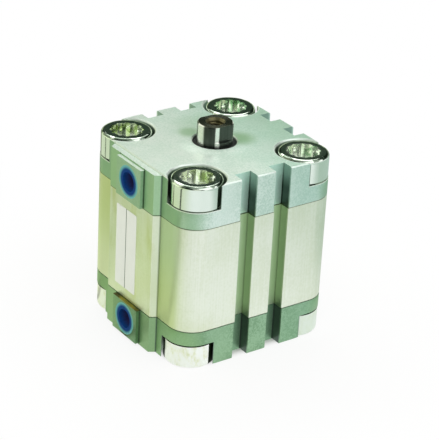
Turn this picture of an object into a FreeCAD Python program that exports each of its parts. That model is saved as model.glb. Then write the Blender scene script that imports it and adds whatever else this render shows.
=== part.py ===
import FreeCAD, Part
import math
import os
import re

import Sketcher

# Compact pneumatic cylinder: a square profile barrel between two caps, held by collar screws, with a magnetic
# piston on a plain rod. Millimetres. The origin is the centre of the rear face, +Z follows the rod out of the
# front cap, and the two ports face -Y. The rod stands fully retracted.

SIZES = {
    # Square body
    "body_width": 59.5,
    "front_cap_height": 14.5,
    "rear_cap_height": 13.5,
    "edge_bevel": 0.4,
    "joint_bevel": 0.3,
    # Bore and travel
    "bore_diameter": 40,
    "stroke": 20,
    "end_clearance": 0.1,
    "spigot_length": 1.2,
    "spigot_clearance": 0.05,
    # Raised pad and port bosses on the port side
    "pad_width": 25.8,
    "pad_height": 2.2,
    "shoulder_run": 1.3,
    "pad_ledge": 0.5,
    "boss_width": 14.4,
    "boss_height": 1.4,
    "boss_ledge": 1,
    # Sensor grooves on the other three sides, a little wider through the caps
    "groove_spacing": 13.3,
    "groove_width": 5.7,
    "groove_depth": 4,
    "cap_groove_margin": 0.25,
    # Collar screws, flush with the cap faces in open corner pockets
    "head_diameter": 17.2,
    "head_inset": 0.15,
    "head_height": 8.6,
    "head_rounding": 1.2,
    "head_relief": 0.4,
    "pocket_clearance": 0.8,
    "shank_diameter": 8,
    "shank_clearance": 0.2,
    "shank_reach": 12,
    "shank_tip": 0.8,
    "tapping_clearance": 0.03,
    "socket_width": 10,
    "socket_depth": 4.3,
    "mount_tapping": 5,
    "mount_thread_length": 10,
    # Joint rings on the caps' spigots, in a step at each mouth of the barrel
    "joint_ring_width": 1.2,
    "joint_ring_slack": 0.1,
    "joint_ring_bevel": 0.3,
    # Air ports, their feed drillings and their plugs
    "port_tapping": 8.6,
    "port_depth": 9.5,
    "port_countersink": 1.3,
    "feed_diameter": 5,
    "passage_diameter": 3.2,
    "passage_inset": 2.7,
    "plug_clearance": 0.03,
    "plug_length": 7.5,
    "plug_wall": 0.9,
    "plug_floor": 1.2,
    # Rod
    "rod_diameter": 12,
    "rod_stickout": 6.7,
    "rod_chamfer": 0.4,
    "flats_width": 10,
    "flats_length": 5.4,
    "rod_tapping": 5,
    "rod_thread_length": 14,
    "rod_countersink": 0.8,
    "journal_diameter": 8,
    "journal_gap": 0.3,
    "running_clearance": 0.03,
    # Rod guide and seal in the front cap
    "wiper_opening": 14.8,
    "wiper_land": 1.3,
    "seal_housing_diameter": 18.8,
    "seal_length": 4.6,
    "seal_slack": 0.1,
    "wiper_rise": 0.9,
    "bush_diameter": 14.4,
    "bush_length": 8,
    "rod_passage_clearance": 0.4,
    # Piston
    "piston_gap": 0.4,
    "disc_thickness": 4.7,
    "lip_seal_depth": 4.2,
    "lip_seal_width": 2.5,
    "ring_clearance": 0.05,
    "magnet_space": 3.1,
    "magnet_inner": 25,
    "magnet_gap": 0.55,
    "guide_ring_thickness": 2.6,
    "guide_ring_split": 1,
    "bumper_inner": 19,
    "bumper_wall": 0.8,
    "bumper_proud": 1.2,
    "bumper_seat": 0.8,
    "rod_ring_width": 1.5,
    "rod_ring_thickness": 1.6,
    "clamp_head_diameter": 10,
    "clamp_head_height": 3,
    "clamp_recess": 3.4,
    "clamp_recess_slack": 0.3,
    "clamp_thread_diameter": 5,
    "clamp_thread_length": 12,
    "clamp_key_width": 4,
    "clamp_key_depth": 2,
}

# Places that follow from the sizes, as formulas in the same words
HALF = "body_width / 2"
CORNER_RADIUS = "(head_diameter / 2 + head_inset)"
SCREW_AXIS = f"({HALF} - {CORNER_RADIUS})"
PISTON_ENDS = "(disc_thickness + bumper_proud + end_clearance + spigot_length)"
BARREL_LENGTH = f"(stroke + 2 * {PISTON_ENDS} + magnet_space)"
FRONT_JOINT = f"(rear_cap_height + {BARREL_LENGTH})"
FRONT_FACE = f"({FRONT_JOINT} + front_cap_height)"
PAD_FACE = f"({HALF} + pad_height)"
BOSS_FACE = f"({HALF} + pad_height + boss_height)"
PISTON_BACK = "(rear_cap_height + spigot_length + end_clearance + bumper_proud)"
PISTON_LENGTH = "(2 * disc_thickness + magnet_space)"
SEAL_TOP = "(front_cap_height - wiper_land)"
SEAL_FLOOR = f"({SEAL_TOP} - seal_length - seal_slack)"
BUSH_FLOOR = f"({SEAL_FLOOR} - bush_length)"
ROD_RADIUS = "(rod_diameter / 2)"
JOINT_RING_INNER = "(bore_diameter / 2 - spigot_clearance + ring_clearance)"
JOINT_RING_OUTER = f"({JOINT_RING_INNER} + joint_ring_width)"
BUMPER_RADIUS = "(bore_diameter / 2 - lip_seal_depth - bumper_wall)"
GUIDE_RING_INNER = "(bore_diameter / 2 - ring_clearance - guide_ring_thickness)"
PASSAGE_AXIS = "(bore_diameter / 2 - passage_inset)"

doc = FreeCAD.newDocument("compact_cylinder")
sheet = doc.addObject("Spreadsheet::Sheet", "sizes")
for row, (word, number) in enumerate(SIZES.items(), 1):
    sheet.set(f"A{row}", word)
    sheet.set(f"B{row}", str(number))
    sheet.setAlias(f"B{row}", word)
doc.recompute()


def bound(formula):
    """The formula with each of the sheet's words turned into a reference to its cell."""
    def cell(found):
        word = found.group()
        return f"sizes.{word}" if word in SIZES else word

    return re.sub(r"[a-z_]+", cell, formula)


def size(formula):
    """The formula's value, in millimetres."""
    return float(sheet.evalExpression(bound(formula)))


def origin_feature(body, role):
    return next(feature for feature in body.Origin.OriginFeatures if feature.Role == role)


def new_body(label):
    body = doc.addObject("PartDesign::Body", label)
    body.Label = label
    return body


def place(body, height, y="0", turn=FreeCAD.Rotation()):
    """Sets the body at a height on the axis, or beside it, after a turn about its own origin."""
    body.Placement = FreeCAD.Placement(FreeCAD.Vector(), turn)
    body.setExpression("Placement.Base.y", bound(y))
    body.setExpression("Placement.Base.z", bound(height))


def new_sketch(body, name, plane="XY_Plane", lift="0", across="0"):
    """A sketch on one of the body's own planes, lifted off it and moved along its first direction."""
    sketch = body.newObject("Sketcher::SketchObject", f"{body.Label}_{name}")
    sketch.AttachmentSupport = [(origin_feature(body, plane), "")]
    sketch.MapMode = "FlatFace"
    sketch.setExpression("AttachmentOffset.Base.x", bound(across))
    sketch.setExpression("AttachmentOffset.Base.z", bound(lift))
    return sketch


def hold_point(sketch, shape, end, x, y):
    """Holds one point of a sketch at its formulas, counted from the sketch's origin."""
    for kind, formula in (("DistanceX", x), ("DistanceY", y)):
        index = sketch.addConstraint(Sketcher.Constraint(kind, -1, 1, shape, end, size(formula)))
        sketch.setExpression(f"Constraints[{index}]", bound(formula))


def draw_outline(sketch, corners):
    """A closed outline of straight sides through corners given as formulas."""
    first = sketch.GeometryCount
    spots = [FreeCAD.Vector(size(x), size(y), 0) for x, y in corners]
    for start, end in zip(spots, spots[1:] + spots[:1]):
        sketch.addGeometry(Part.LineSegment(start, end))
    for side, (x, y) in enumerate(corners):
        following = first + (side + 1) % len(corners)
        sketch.addConstraint(Sketcher.Constraint("Coincident", first + side, 2, following, 1))
        hold_point(sketch, first + side, 1, x, y)


def draw_box(sketch, low_x, low_y, high_x, high_y):
    draw_outline(sketch, [(low_x, low_y), (high_x, low_y), (high_x, high_y), (low_x, high_y)])


def draw_circle(sketch, diameter, x="0", y="0"):
    centre = FreeCAD.Vector(size(x), size(y), 0)
    circle = sketch.addGeometry(Part.Circle(centre, FreeCAD.Vector(0, 0, 1), size(diameter) / 2))
    hold_point(sketch, circle, 3, x, y)
    index = sketch.addConstraint(Sketcher.Constraint("Diameter", circle, size(diameter)))
    sketch.setExpression(f"Constraints[{index}]", bound(diameter))


def swept(body, kind, sketch, length, backwards=False):
    """A pad or pocket of the sketch; with no length it goes through everything both ways."""
    feature = body.newObject(f"PartDesign::{kind}", f"{sketch.Label}_{kind.lower()}")
    feature.Profile = sketch
    feature.Reversed = backwards
    if length is None:
        feature.Type = "ThroughAll"
        feature.Midplane = True
    else:
        feature.setExpression("Length", bound(length))
    return feature


def pad(body, sketch, length, backwards=False):
    return swept(body, "Pad", sketch, length, backwards)


def pocket(body, sketch, depth=None, backwards=False):
    """Cuts the sketch out of the body and makes sure that something was cut."""
    doc.recompute()
    before = body.Shape.Volume
    feature = swept(body, "Pocket", sketch, depth, backwards)
    doc.recompute()
    if body.Shape.Volume >= before:
        raise RuntimeError(f"{sketch.Label} cuts nothing")
    return feature


def turn_section(body, sketch, kind="Revolution"):
    """A full turn of the sketch about its own upright axis."""
    feature = body.newObject(f"PartDesign::{kind}", f"{sketch.Label}_turn")
    feature.Profile = sketch
    feature.ReferenceAxis = (sketch, ["V_Axis"])
    feature.Angle = 360
    return feature


def turned_cut(body, sketch):
    """Turns the sketch out of the body and makes sure that something was cut."""
    doc.recompute()
    before = body.Shape.Volume
    feature = turn_section(body, sketch, "Groove")
    doc.recompute()
    if body.Shape.Volume >= before:
        raise RuntimeError(f"{sketch.Label} cuts nothing")
    return feature


def turned_body(label, corners):
    """A body turned about Z from a half section with corners (radius, height)."""
    body = new_body(label)
    sketch = new_sketch(body, "section", "XZ_Plane")
    draw_outline(sketch, corners)
    turn_section(body, sketch)
    return body


def ring_body(label, inner, outer, low, high):
    """A turned ring of rectangular section between two radii and two heights."""
    return turned_body(label, [(inner, low), (outer, low), (outer, high), (inner, high)])


def repeat_round(body, features, copies, angle):
    """Copies features round the body's Z axis, spread over an angle."""
    pattern = body.newObject("PartDesign::PolarPattern", f"{features[-1].Label}_round")
    pattern.Originals = features
    pattern.Axis = (origin_feature(body, "Z_Axis"), [""])
    pattern.Angle = angle
    pattern.Occurrences = copies
    body.Tip = pattern
    return pattern


def dress_edges(body, kind, chosen, name, amount):
    """Fillets or chamfers those edges of the body so far that the test picks by their curve and middle."""
    doc.recompute()
    base = body.Tip
    edges = []
    for number, edge in enumerate(base.Shape.Edges, 1):
        middle = edge.valueAt((edge.FirstParameter + edge.LastParameter) / 2)
        if chosen(edge, middle):
            edges.append(f"Edge{number}")
    feature = body.newObject(f"PartDesign::{kind}", f"{body.Label}_{name}")
    feature.Base = (base, edges)
    feature.setExpression("Radius" if kind == "Fillet" else "Size", bound(amount))
    return feature


def near(one, other):
    return abs(one - other) < 1e-6


def square_block(body, height):
    """The square body with round corners centred on the screws."""
    square = new_sketch(body, "square")
    draw_box(square, f"-{HALF}", f"-{HALF}", HALF, HALF)
    pad(body, square, height)
    half = size(HALF)
    dress_edges(
        body,
        "Fillet",
        lambda edge, middle: near(abs(middle.x), half) and near(abs(middle.y), half),
        "corners",
        CORNER_RADIUS,
    )


def raise_pad(body, end):
    """The pad with slanted shoulders along the port side, up to a height."""
    raised = new_sketch(body, "raised_pad")
    foot = "pad_width / 2 + shoulder_run"
    crown = "pad_width / 2"
    draw_outline(
        raised,
        [
            (f"-({foot})", f"-{HALF}"),
            (f"-{crown}", f"-{PAD_FACE}"),
            (crown, f"-{PAD_FACE}"),
            (foot, f"-{HALF}"),
        ],
    )
    pad(body, raised, end)


def cut_sensor_grooves(body, margin):
    """Two grooves on each of the three sides without ports."""
    sketch = new_sketch(body, "grooves")
    half_width = f"(groove_width / 2 + {margin})"
    for side in ("-", ""):
        middle = f"{side}groove_spacing / 2"
        draw_box(
            sketch,
            f"{HALF} - groove_depth - {margin}",
            f"{middle} - {half_width}",
            f"{HALF} + groove_depth",
            f"{middle} + {half_width}",
        )
    grooves = pocket(body, sketch)
    repeat_round(body, [grooves], 3, 180)


def cut_corner_holes(body, name, diameter):
    sketch = new_sketch(body, name)
    draw_circle(sketch, diameter, SCREW_AXIS, SCREW_AXIS)
    hole = pocket(body, sketch)
    repeat_round(body, [hole], 4, 360)


def cut_head_pockets(body, top):
    """Four pockets for the screw heads, open to the sides, with a bevelled mouth at the top."""
    section = new_sketch(body, "head_pocket", "XZ_Plane", lift=f"-{SCREW_AXIS}", across=SCREW_AXIS)
    radius = "(head_diameter / 2 + pocket_clearance)"
    draw_outline(
        section,
        [
            ("0", f"{top} - head_height"),
            (radius, f"{top} - head_height"),
            (radius, f"{top} - edge_bevel"),
            (f"{radius} + edge_bevel", top),
            ("0", top),
        ],
    )
    head_pocket = turned_cut(body, section)
    repeat_round(body, [head_pocket], 4, 360)


def make_barrel():
    body = new_body("cylinder_barrel")
    square_block(body, BARREL_LENGTH)
    raise_pad(body, BARREL_LENGTH)
    cut_sensor_grooves(body, "0")
    length = size(BARREL_LENGTH)

    def is_end_edge(edge, middle):
        return near(middle.z, 0) or near(middle.z, length)

    dress_edges(body, "Chamfer", is_end_edge, "end_edges", "joint_bevel")
    bore = new_sketch(body, "bore", "XZ_Plane")
    step = f"({JOINT_RING_OUTER} + joint_ring_slack)"
    draw_outline(
        bore,
        [
            ("0", "0"),
            (step, "0"),
            (step, "spigot_length"),
            ("bore_diameter / 2", "spigot_length"),
            ("bore_diameter / 2", f"{BARREL_LENGTH} - spigot_length"),
            (step, f"{BARREL_LENGTH} - spigot_length"),
            (step, BARREL_LENGTH),
            ("0", BARREL_LENGTH),
        ],
    )
    turned_cut(body, bore)
    cut_corner_holes(body, "screw_holes", "shank_diameter + 2 * tapping_clearance")
    place(body, "rear_cap_height")


def make_cap(label, height):
    """A cap standing on its joint face, with the outer face on top and the spigot hanging into the barrel."""
    body = new_body(label)
    square_block(body, height)
    top = size(height)
    dress_edges(body, "Chamfer", lambda edge, middle: near(middle.z, top), "top_edges", "edge_bevel")
    raise_pad(body, f"{height} - pad_ledge")
    boss = new_sketch(body, "port_boss")
    draw_box(boss, "-boss_width / 2", f"-{BOSS_FACE}", "boss_width / 2", f"-{HALF}")
    pad(body, boss, f"{height} - boss_ledge")
    cut_sensor_grooves(body, "cap_groove_margin")
    cut_head_pockets(body, height)
    cut_corner_holes(body, "shank_holes", "shank_diameter + 2 * shank_clearance")
    spigot = new_sketch(body, "spigot")
    draw_circle(spigot, "bore_diameter - 2 * spigot_clearance")
    pad(body, spigot, "spigot_length", backwards=True)
    cut_port(body, f"({height} - boss_ledge) / 2")
    return body


def cut_port(body, middle):
    """The tapped port in the boss with its countersink, its feed drilling and the passage up to the bore."""
    port = new_sketch(body, "port", lift=middle)
    floor = f"-{BOSS_FACE} + port_depth"
    draw_outline(
        port,
        [
            ("0", f"-{BOSS_FACE}"),
            ("port_tapping / 2 + port_countersink", f"-{BOSS_FACE}"),
            ("port_tapping / 2", f"-{BOSS_FACE} + port_countersink"),
            ("port_tapping / 2", floor),
            ("feed_diameter / 2", f"{floor} + (port_tapping - feed_diameter) / 4"),
            ("feed_diameter / 2", f"-{PASSAGE_AXIS}"),
            ("0", f"-{PASSAGE_AXIS}"),
        ],
    )
    turned_cut(body, port)
    passage = new_sketch(body, "passage", lift="-spigot_length")
    draw_circle(passage, "passage_diameter", "0", f"-{PASSAGE_AXIS}")
    pocket(body, passage, f"spigot_length + {middle}", backwards=True)


def make_front_cap():
    body = make_cap("front_cap", "front_cap_height")
    sketch = new_sketch(body, "rod_bore", "XZ_Plane")
    passage = f"({ROD_RADIUS} + rod_passage_clearance)"
    bush = "(bush_diameter / 2 + tapping_clearance)"
    draw_outline(
        sketch,
        [
            ("0", "-spigot_length"),
            (passage, "-spigot_length"),
            (passage, BUSH_FLOOR),
            (bush, BUSH_FLOOR),
            (bush, SEAL_FLOOR),
            ("seal_housing_diameter / 2", SEAL_FLOOR),
            ("seal_housing_diameter / 2", SEAL_TOP),
            ("wiper_opening / 2", SEAL_TOP),
            ("wiper_opening / 2", "front_cap_height - edge_bevel"),
            ("wiper_opening / 2 + edge_bevel", "front_cap_height"),
            ("0", "front_cap_height"),
        ],
    )
    turned_cut(body, sketch)
    place(body, FRONT_JOINT)


def make_rear_cap():
    body = make_cap("rear_cap", "rear_cap_height")
    place(body, "rear_cap_height", turn=FreeCAD.Rotation(FreeCAD.Vector(0, 1, 0), 180))


# How far the corners of a key socket lie from its middle, in widths across its flats
HEXAGON_CORNER = 0.5 / math.cos(math.radians(30))
TWELVE_POINT_NOTCH = 0.5 / math.cos(math.radians(15))


def key_corners(middle, width, reaches):
    """Corners of a key socket round its middle, one for each reach."""
    corners = []
    for step, reach in enumerate(reaches):
        angle = 2 * math.pi * step / len(reaches)
        across, up = reach * math.cos(angle), reach * math.sin(angle)
        corners.append((f"{middle} + {width} * {across:.6f}", f"{middle} + {width} * {up:.6f}"))
    return corners


def make_collar_screws(label, cap_height, seat, turn=FreeCAD.Rotation()):
    """Four screws on their seats: a wide round head with a twelve-point socket and a tapped hole below it."""
    body = new_body(label)
    shank = "shank_diameter / 2"
    foot = f"-({cap_height} - head_height + shank_reach)"
    section = new_sketch(body, "section", "XZ_Plane", lift=f"-{SCREW_AXIS}", across=SCREW_AXIS)
    draw_outline(
        section,
        [
            ("0", foot),
            (f"{shank} - shank_tip", foot),
            (shank, f"{foot} + shank_tip"),
            (shank, "0"),
            ("head_diameter / 2 - head_relief", "0"),
            ("head_diameter / 2", "head_relief"),
            ("head_diameter / 2", "head_height"),
            ("0", "head_height"),
        ],
    )
    screw = turn_section(body, section)
    socket = new_sketch(body, "socket", lift="head_height")
    draw_outline(socket, key_corners(SCREW_AXIS, "socket_width", [HEXAGON_CORNER, TWELVE_POINT_NOTCH] * 12))
    socket_cut = pocket(body, socket, "socket_depth")
    thread = new_sketch(body, "thread", lift="head_height")
    draw_circle(thread, "mount_tapping", SCREW_AXIS, SCREW_AXIS)
    thread_cut = pocket(body, thread, "socket_depth + mount_thread_length")
    repeat_round(body, [screw, socket_cut, thread_cut], 4, 360)
    top, radius = size("head_height"), size("head_diameter / 2")

    def is_head_rim(edge, middle):
        return isinstance(edge.Curve, Part.Circle) and near(middle.z, top) and near(edge.Curve.Radius, radius)

    dress_edges(body, "Fillet", is_head_rim, "head_rims", "head_rounding")
    place(body, seat, turn=turn)


def make_joint_ring(label, height):
    """A ring squeezed into its step, with bevelled edges."""
    thickness = "(spigot_length - joint_ring_slack)"
    body = turned_body(
        label,
        [
            (f"{JOINT_RING_INNER} + joint_ring_bevel", "0"),
            (f"{JOINT_RING_OUTER} - joint_ring_bevel", "0"),
            (JOINT_RING_OUTER, "joint_ring_bevel"),
            (JOINT_RING_OUTER, f"{thickness} - joint_ring_bevel"),
            (f"{JOINT_RING_OUTER} - joint_ring_bevel", thickness),
            (f"{JOINT_RING_INNER} + joint_ring_bevel", thickness),
            (JOINT_RING_INNER, f"{thickness} - joint_ring_bevel"),
            (JOINT_RING_INNER, "joint_ring_bevel"),
        ],
    )
    place(body, height)


def make_port_plug(label, height):
    """A cup-shaped plug whose rim lies in the port's countersink, mouth outwards along -Y."""
    shank = "(port_tapping / 2 - plug_clearance)"
    rim = f"({shank} + port_countersink)"
    mouth = f"({shank} - plug_wall)"
    body = turned_body(
        label,
        [
            ("0", "-plug_length"),
            (f"{shank} - plug_wall / 2", "-plug_length"),
            (shank, "-plug_length + plug_wall"),
            (shank, "-port_countersink"),
            (rim, "0"),
            (mouth, "0"),
            (f"{mouth} - plug_wall / 2", "-plug_length + plug_floor"),
            ("0", "-plug_length + plug_floor"),
        ],
    )
    place(body, height, f"-{BOSS_FACE}", FreeCAD.Rotation(FreeCAD.Vector(1, 0, 0), 90))


def make_rod():
    """The rod stands on its shoulder, with the piston's journal below it and the tapped end above."""
    end = f"({FRONT_FACE} + rod_stickout - {PISTON_BACK} - {PISTON_LENGTH})"
    journal = "(journal_diameter / 2)"
    journal_end = f"-({PISTON_LENGTH} - clamp_recess - journal_gap)"
    body = turned_body(
        "piston_rod",
        [
            ("clamp_thread_diameter / 2 + tapping_clearance", journal_end),
            (journal, journal_end),
            (journal, "0"),
            (ROD_RADIUS, "0"),
            (ROD_RADIUS, f"{end} - rod_chamfer"),
            (f"{ROD_RADIUS} - rod_chamfer", end),
            ("rod_tapping / 2 + rod_countersink", end),
            ("rod_tapping / 2", f"{end} - rod_countersink"),
            ("rod_tapping / 2", f"{end} - rod_thread_length"),
            ("0", f"{end} - rod_thread_length - rod_tapping / 4"),
            ("0", f"{journal_end} + clamp_thread_length + clamp_thread_diameter / 4"),
            ("clamp_thread_diameter / 2 + tapping_clearance", f"{journal_end} + clamp_thread_length"),
        ],
    )
    flats = new_sketch(body, "flats", lift=end)
    for side in ("-", ""):
        draw_box(
            flats,
            f"{side}flats_width / 2",
            f"-{ROD_RADIUS}",
            f"{side}rod_diameter",
            ROD_RADIUS,
        )
    pocket(body, flats, "flats_length")
    place(body, f"{PISTON_BACK} + {PISTON_LENGTH}")


def make_rod_guide():
    inner = f"({ROD_RADIUS} + running_clearance)"
    bush = ring_body("rod_bush", inner, "bush_diameter / 2", "0", "bush_length")
    place(bush, f"{FRONT_JOINT} + {BUSH_FLOOR}")
    outer = "(seal_housing_diameter / 2 - ring_clearance)"
    waist = f"({inner} + wiper_opening / 2) / 2"
    seal = turned_body(
        "rod_seal",
        [
            (waist, "0"),
            (outer, "0"),
            (outer, "seal_length"),
            ("wiper_opening / 2 - ring_clearance", "seal_length"),
            ("wiper_opening / 2 - ring_clearance", "seal_length + seal_slack + wiper_rise / 2"),
            (inner, "seal_length + seal_slack + wiper_rise"),
            (inner, "seal_length"),
            (waist, "0.8 * seal_length"),
            (waist, "0.5 * seal_length"),
            (inner, "0.3 * seal_length"),
            (inner, "0.2 * seal_length"),
        ],
    )
    place(seal, f"{FRONT_JOINT} + {SEAL_FLOOR}")


def disc_section(hub):
    """Half section of a piston disc from its outer face at 0: bumper seat, seal groove and clamping face."""
    rim = "(bore_diameter / 2 - piston_gap)"
    root = "(bore_diameter / 2 - lip_seal_depth)"
    wall = "((disc_thickness - lip_seal_width) / 2 - ring_clearance)"
    return [
        ("bumper_inner / 2", "0"),
        ("bumper_inner / 2", "bumper_seat"),
        (BUMPER_RADIUS, "bumper_seat"),
        (BUMPER_RADIUS, "0"),
        (rim, "0"),
        (rim, wall),
        (root, wall),
        (root, f"disc_thickness - {wall}"),
        (rim, f"disc_thickness - {wall}"),
        (rim, "disc_thickness"),
    ] + hub


def make_piston():
    flip = FreeCAD.Rotation(FreeCAD.Vector(0, 1, 0), 180)
    front_face = f"{PISTON_BACK} + {PISTON_LENGTH}"
    bore = "(journal_diameter / 2 + tapping_clearance)"
    ring_seat = f"({bore} + rod_ring_width + tapping_clearance)"
    front = turned_body(
        "piston_front_disc",
        disc_section(
            [
                (ring_seat, "disc_thickness"),
                (ring_seat, "disc_thickness - rod_ring_thickness"),
                (bore, "disc_thickness - rod_ring_thickness"),
                (bore, "0"),
            ]
        ),
    )
    place(front, front_face, turn=flip)
    recess = "(clamp_head_diameter / 2 + clamp_recess_slack)"
    hub = "(magnet_inner / 2 - ring_clearance)"
    rear = turned_body(
        "piston_rear_disc",
        disc_section(
            [
                (hub, "disc_thickness"),
                (hub, PISTON_LENGTH + " - disc_thickness"),
                (bore, PISTON_LENGTH + " - disc_thickness"),
                (bore, "clamp_recess"),
                (recess, "clamp_recess"),
                (recess, "0"),
            ]
        ),
    )
    place(rear, PISTON_BACK)
    ring = ring_body("rod_o_ring", bore, f"{bore} + rod_ring_width", "0", "rod_ring_thickness")
    place(ring, f"{PISTON_BACK} + disc_thickness + magnet_space")
    magnet_outer = f"{GUIDE_RING_INNER} - magnet_gap"
    magnet = ring_body("magnet_ring", "magnet_inner / 2", magnet_outer, "0", "magnet_space")
    place(magnet, f"{PISTON_BACK} + disc_thickness")
    make_guide_ring()
    make_lip_seal("piston_seal_front", front_face, flip)
    make_lip_seal("piston_seal_rear", PISTON_BACK, FreeCAD.Rotation())
    make_bumper("front_bumper", front_face, flip)
    make_bumper("rear_bumper", PISTON_BACK, FreeCAD.Rotation())
    make_clamp_screw()


def make_guide_ring():
    """A split ring that carries the piston on the bore."""
    outer = "bore_diameter / 2 - ring_clearance"
    body = ring_body("guide_ring", GUIDE_RING_INNER, outer, "ring_clearance", "magnet_space - ring_clearance")
    split = new_sketch(body, "split")
    draw_box(split, "-guide_ring_split / 2", "0", "guide_ring_split / 2", "bore_diameter")
    pocket(body, split)
    place(body, f"{PISTON_BACK} + disc_thickness")


def make_lip_seal(label, height, turn):
    """A U-shaped seal whose open lips face its own pressure side."""
    inner = "(bore_diameter / 2 - lip_seal_depth + ring_clearance)"
    outer = "(bore_diameter / 2 - ring_clearance)"
    middle = "(bore_diameter / 2 - lip_seal_depth / 2)"
    low = "(disc_thickness - lip_seal_width) / 2"
    body = turned_body(
        label,
        [
            (inner, low),
            (f"{inner} + lip_seal_depth / 6", low),
            (middle, f"{low} + 0.6 * lip_seal_width"),
            (f"{outer} - lip_seal_depth / 6", low),
            (outer, low),
            (outer, f"{low} + 0.4 * lip_seal_width"),
            (f"{outer} - lip_seal_depth / 8", f"{low} + lip_seal_width"),
            (inner, f"{low} + lip_seal_width"),
        ],
    )
    place(body, height, turn=turn)


def make_bumper(label, height, turn):
    inner = "(bumper_inner / 2 + ring_clearance)"
    body = ring_body(label, inner, f"{BUMPER_RADIUS} - ring_clearance", "-bumper_proud", "bumper_seat")
    place(body, height, turn=turn)


def make_clamp_screw():
    """The screw that clamps both discs against the rod's shoulder, head down in the rear disc."""
    body = turned_body(
        "piston_screw",
        [
            ("0", "-clamp_head_height"),
            ("clamp_head_diameter / 2", "-clamp_head_height"),
            ("clamp_head_diameter / 2", "0"),
            ("clamp_thread_diameter / 2", "0"),
            ("clamp_thread_diameter / 2", "clamp_thread_length"),
            ("0", "clamp_thread_length"),
        ],
    )
    key = new_sketch(body, "key", lift="-clamp_head_height")
    draw_outline(key, key_corners("0", "clamp_key_width", [HEXAGON_CORNER] * 6))
    pocket(body, key, "clamp_key_depth", backwards=True)
    place(body, f"{PISTON_BACK} + clamp_recess")


def write_parts():
    """Checks every object and then writes one file for each sub-part."""
    doc.recompute()
    for item in doc.Objects:
        if "Invalid" in item.State or "Error" in item.State:
            raise RuntimeError(f"{item.Label} failed: {item.State}")
    bodies = [item for item in doc.Objects if item.TypeId == "PartDesign::Body"]
    for body in bodies:
        if body.Shape.isNull() or not body.Shape.isValid() or not body.Shape.Solids:
            raise RuntimeError(f"{body.Label} has no valid solid")
    os.makedirs("parts", exist_ok=True)
    for body in bodies:
        body.Shape.exportStep(f"parts/{body.Label}.step")
        print(body.Label, len(body.Shape.Solids), round(body.Shape.Volume, 1))


make_barrel()
make_front_cap()
make_rear_cap()
make_collar_screws("front_collar_screws", "front_cap_height", f"{FRONT_FACE} - head_height")
make_collar_screws(
    "rear_collar_screws", "rear_cap_height", "head_height", FreeCAD.Rotation(FreeCAD.Vector(0, 1, 0), 180)
)
make_joint_ring("front_o_ring", f"{FRONT_JOINT} - spigot_length + joint_ring_slack")
make_joint_ring("rear_o_ring", "rear_cap_height")
make_port_plug("front_port_plug", f"{FRONT_JOINT} + (front_cap_height - boss_ledge) / 2")
make_port_plug("rear_port_plug", "rear_cap_height - (rear_cap_height - boss_ledge) / 2")
make_rod()
make_rod_guide()
make_piston()
write_parts()
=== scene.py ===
import math
from collections import namedtuple

import bmesh
import bpy
from mathutils import Matrix, Vector


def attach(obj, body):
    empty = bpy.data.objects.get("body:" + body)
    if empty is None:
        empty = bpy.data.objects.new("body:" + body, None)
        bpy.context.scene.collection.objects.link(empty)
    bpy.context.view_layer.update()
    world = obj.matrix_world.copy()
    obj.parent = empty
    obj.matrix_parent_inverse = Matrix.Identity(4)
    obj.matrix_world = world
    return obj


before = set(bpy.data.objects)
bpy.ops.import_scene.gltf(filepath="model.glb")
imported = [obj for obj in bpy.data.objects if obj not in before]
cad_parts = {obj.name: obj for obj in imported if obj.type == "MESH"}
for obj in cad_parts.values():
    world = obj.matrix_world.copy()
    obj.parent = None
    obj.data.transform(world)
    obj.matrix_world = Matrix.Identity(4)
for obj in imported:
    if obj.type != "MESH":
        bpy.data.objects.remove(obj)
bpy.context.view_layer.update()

MM = 0.001
UP = (0.0, 0.0, 1.0)

# Places taken from the solids. The pockets' floors lie POCKET_FLOOR above and below MID_HEIGHT
BODY_FACE = 29.75 * MM
CORNER_RADIUS = 8.75 * MM
GROOVE_AXIS = 6.65 * MM
GROOVE_REACH = 3.15 * MM
GROOVE_WALL = 2.8 * MM
GROOVE_FLOOR = 25.4 * MM
MID_HEIGHT = 32.75 * MM
BARREL_MIDDLE = 32.25 * MM
BARREL_HALF = 18.75 * MM
REAR_JOINT = 13.5 * MM
SCREW_AXIS = 21 * MM
BROACHED_RADIUS = 5.9 * MM
POCKET_RADIUS = 9.5 * MM
POCKET_FLOOR = 24.15 * MM
HEAD_RELIEF = 0.55 * MM
SOCKET_FLOORS = (4.3 * MM, 61.2 * MM)
ROD_END = 72.2 * MM
ROD_BORE = 3.3 * MM
PAD_FACE = -31.95 * MM
SHOULDER_FOOT = 14.2 * MM
BOSS_SIDE = 7.2 * MM
PORT_MIDDLE = 32.5 * MM
PORT_SPREAD = 25.25 * MM
PLUG_DEPTH = -29.2 * MM


def toward(azimuth, height):
    """The direction from the object to a place round it, in degrees as the views count them."""
    turn, rise = math.radians(azimuth), math.radians(height)
    return Vector((math.sin(turn) * math.cos(rise), -math.cos(turn) * math.cos(rise), math.sin(rise)))


# Shader sums

def sum_node(operation, reflected=False):
    """An operator for Level, which adds one Math node."""
    def combine(self, other):
        first, second = (other, self) if reflected else (self, other)
        return self.finish.node("ShaderNodeMath", {"operation": operation}, {0: first, 1: second})
    return combine


class Level:
    """A value that varies over a surface: a shader socket that takes part in Python sums."""

    def __init__(self, finish, socket):
        self.finish = finish
        self.socket = socket

    __add__ = sum_node("ADD")
    __radd__ = sum_node("ADD", reflected=True)
    __sub__ = sum_node("SUBTRACT")
    __rsub__ = sum_node("SUBTRACT", reflected=True)
    __mul__ = sum_node("MULTIPLY")
    __rmul__ = sum_node("MULTIPLY", reflected=True)
    __lt__ = sum_node("LESS_THAN")
    __gt__ = sum_node("GREATER_THAN")
    larger = sum_node("MAXIMUM")
    smaller = sum_node("MINIMUM")

    def __abs__(self):
        return self.finish.node("ShaderNodeMath", {"operation": "ABSOLUTE"}, {0: self})


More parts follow.
